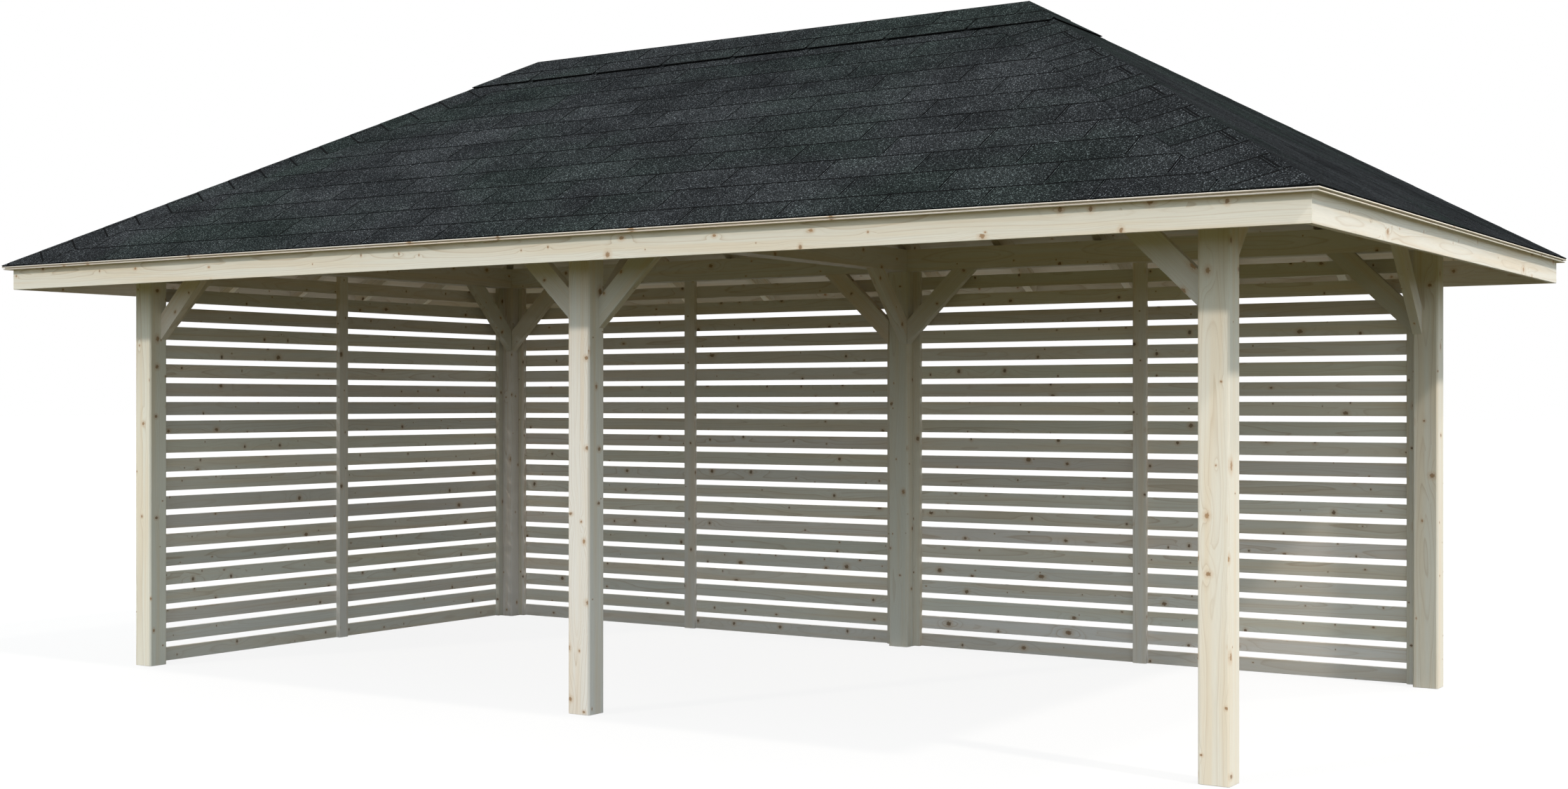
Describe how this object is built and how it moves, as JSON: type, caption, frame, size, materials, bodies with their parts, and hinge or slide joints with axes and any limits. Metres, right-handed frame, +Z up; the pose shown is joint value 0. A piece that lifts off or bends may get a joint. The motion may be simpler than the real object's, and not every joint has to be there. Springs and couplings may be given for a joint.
{
  "type": "garden gazebo",
  "caption": "Open timber garden gazebo with posts, slatted walls on the left and at the back, braced beams and a hipped roof covered with shingles.",
  "frame": {"origin": "on the ground under the middle of the roof, midway between the posts", "axes": "+X right along the front, +Y to the slatted back, +Z up"},
  "size_m": [6.835, 4.312, 3.3267],
  "materials": {
    "post_wood": "untreated planed spruce",
    "beam_wood": "untreated planed spruce",
    "slat_wood": "untreated planed spruce",
    "fascia_wood": "untreated planed spruce",
    "roof_board_wood": "untreated planed spruce",
    "rafter_wood": "untreated planed spruce",
    "bitumen_shingle": "granulated bitumen felt"
  },
  "bodies": {
    "root": {"back_beam": "beam_wood", "back_braces": "beam_wood", "back_fascia": "fascia_wood", "back_left_hip_rafter": "rafter_wood", "back_left_hip_strip": "bitumen_shingle", "back_left_post": "post_wood", "back_left_wall": "slat_wood", "back_middle_post": "post_wood", "back_rafters": "rafter_wood", "back_right_hip_rafter": "rafter_wood", "back_right_hip_strip": "bitumen_shingle", "back_right_post": "post_wood", "back_right_wall": "slat_wood", "back_roof_boards": "roof_board_wood", "back_shingles": "bitumen_shingle", "front_beam": "beam_wood", "front_braces": "beam_wood", "front_fascia": "fascia_wood", "front_left_hip_rafter": "rafter_wood", "front_left_hip_strip": "bitumen_shingle", "front_left_post": "post_wood", "front_middle_post": "post_wood", "front_rafters": "rafter_wood", "front_right_hip_rafter": "rafter_wood", "front_right_hip_strip": "bitumen_shingle", "front_right_post": "post_wood", "front_roof_boards": "roof_board_wood", "front_shingles": "bitumen_shingle", "left_beam": "beam_wood", "left_braces": "beam_wood", "left_fascia": "fascia_wood", "left_rafters": "rafter_wood", "left_roof_boards": "roof_board_wood", "left_shingles": "bitumen_shingle", "left_wall": "slat_wood", "ridge_board": "rafter_wood", "ridge_hood": "bitumen_shingle", "right_beam": "beam_wood", "right_braces": "beam_wood", "right_fascia": "fascia_wood", "right_rafters": "rafter_wood", "right_roof_boards": "roof_board_wood", "right_shingles": "bitumen_shingle", "tie_beam": "beam_wood", "tie_braces": "beam_wood"}
  },
  "joints": []
}
